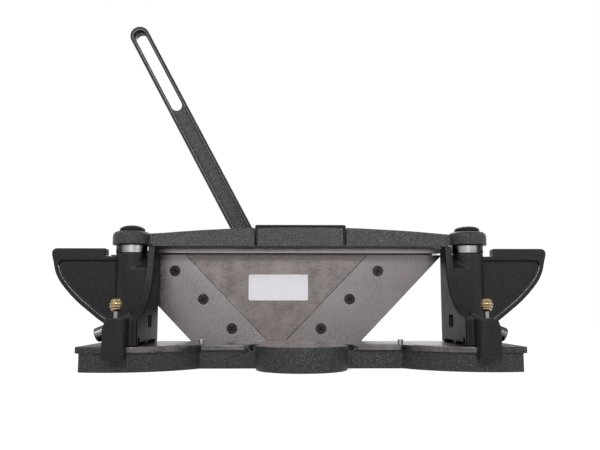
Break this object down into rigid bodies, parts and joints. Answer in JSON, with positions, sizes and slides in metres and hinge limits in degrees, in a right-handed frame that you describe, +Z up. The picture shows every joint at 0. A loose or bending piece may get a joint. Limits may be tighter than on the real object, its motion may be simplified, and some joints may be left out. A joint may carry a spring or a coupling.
{
  "type": "mitre trimmer",
  "caption": "Bench mitre guillotine: a lever slides an upright knife carriage behind a table with swinging fences to trim frame mouldings.",
  "frame": {"origin": "on the flat underside of the base casting, midway between the two fence posts and below the cut, where the table's rear edge meets the knives' front faces", "axes": "+X to the operator's right along the carriage's travel, +Y away from the operator, +Z up"},
  "size_m": [0.554, 0.221, 0.4094],
  "materials": {
    "hammered_black": "black-grey hammered paint on cast iron with light speckle",
    "satin_black": "satin black paint on a casting",
    "ground_steel": "finely ground tool steel",
    "plate_steel": "coarser ground steel plate with swirl marks",
    "machined_steel": "turned or milled bright steel",
    "black_oxide": "black oxide on steel",
    "brass": "turned brass",
    "bronze": "sintered bronze",
    "spring_steel": "drawn spring wire",
    "white_plate": "blank white plate"
  },
  "bodies": {
    "frame": {"base_casting": "hammered_black", "lower_way": "machined_steel", "bridge": "hammered_black", "bridge_cover": "satin_black", "upper_rail": "machined_steel", "lever_pivot_bolt": "black_oxide", "lever_pivot_washer": "machined_steel", "lever_pivot_nut": "black_oxide", "left_post": "machined_steel", "left_post_collar": "machined_steel", "left_dome_bolt": "black_oxide", "left_table_pin": "machined_steel", "left_way_screw": "black_oxide", "left_rail_screw": "black_oxide", "right_post": "machined_steel", "right_post_collar": "machined_steel", "right_dome_bolt": "black_oxide", "right_table_pin": "machined_steel", "right_way_screw": "black_oxide", "right_rail_screw": "black_oxide"},
    "carriage": {"carriage_plate": "plate_steel", "label_plate": "white_plate", "drive_pin": "machined_steel", "left_knife": "ground_steel", "right_knife": "ground_steel", "left_knife_screw_top": "black_oxide", "left_knife_screw_middle": "black_oxide", "left_knife_screw_bottom": "black_oxide", "right_knife_screw_top": "black_oxide", "right_knife_screw_middle": "black_oxide", "right_knife_screw_bottom": "black_oxide"},
    "roller": {"drive_roller": "machined_steel"},
    "lever_arm": {"lever": "satin_black", "lever_bush": "bronze"},
    "left_fence_body": {"left_fence": "satin_black", "left_fence_lower_bush": "bronze", "left_fence_upper_bush": "bronze"},
    "left_plunger": {"left_index_pin": "machined_steel", "left_pull_knob": "brass", "left_index_spring": "spring_steel"},
    "left_lock": {"left_lock_screw": "machined_steel", "left_lock_knob": "machined_steel"},
    "right_fence_body": {"right_fence": "satin_black", "right_fence_lower_bush": "bronze", "right_fence_upper_bush": "bronze"},
    "right_plunger": {"right_index_pin": "machined_steel", "right_pull_knob": "brass", "right_index_spring": "spring_steel"},
    "right_lock": {"right_lock_screw": "machined_steel", "right_lock_knob": "machined_steel"}
  },
  "joints": [
    {"name": "lever_hinge", "type": "hinge", "parent": "frame", "child": "lever_arm", "pos_m": [0, 0.036, 0.026], "axis": [0, 1, 0], "range_deg": [-45.9, 102.1]},
    {"name": "carriage_slide", "type": "slide", "parent": "frame", "child": "carriage", "axis": [1, 0, 0], "range_m": [-0.0442, 0.0982]},
    {"name": "roller_spin", "type": "hinge", "parent": "carriage", "child": "roller", "pos_m": [-0.02697, 0.032, 0.081], "axis": [0, 1, 0], "continuous": true},
    {"name": "left_fence_swing", "type": "hinge", "parent": "frame", "child": "left_fence_body", "pos_m": [-0.188, -0.029, 0.07], "axis": [0, 0, 1], "range_deg": [0, 45]},
    {"name": "left_index_pull", "type": "slide", "parent": "left_fence_body", "child": "left_plunger", "axis": [0, 0, 1], "range_m": [0, 0.008], "stiffness_N_per_m": 300, "springref_m": -0.006, "deforming": ["left_index_spring"]},
    {"name": "left_lock_turn", "type": "hinge", "parent": "left_fence_body", "child": "left_lock", "pos_m": [-0.194, -0.1, 0.0387], "axis": [-0.9272, 0, -0.3746], "range_deg": [0, 180]},
    {"name": "right_fence_swing", "type": "hinge", "parent": "frame", "child": "right_fence_body", "pos_m": [0.188, -0.029, 0.07], "axis": [0, 0, -1], "range_deg": [0, 45]},
    {"name": "right_index_pull", "type": "slide", "parent": "right_fence_body", "child": "right_plunger", "axis": [0, 0, 1], "range_m": [0, 0.008], "stiffness_N_per_m": 300, "springref_m": -0.006, "deforming": ["right_index_spring"]},
    {"name": "right_lock_turn", "type": "hinge", "parent": "right_fence_body", "child": "right_lock", "pos_m": [0.194, -0.1, 0.0387], "axis": [0.9272, 0, -0.3746], "range_deg": [0, 180]}
  ],
  "couplings": [
    {"joint": "carriage_slide", "follows": "lever_hinge", "m_per_rad": 0.055}
  ]
}
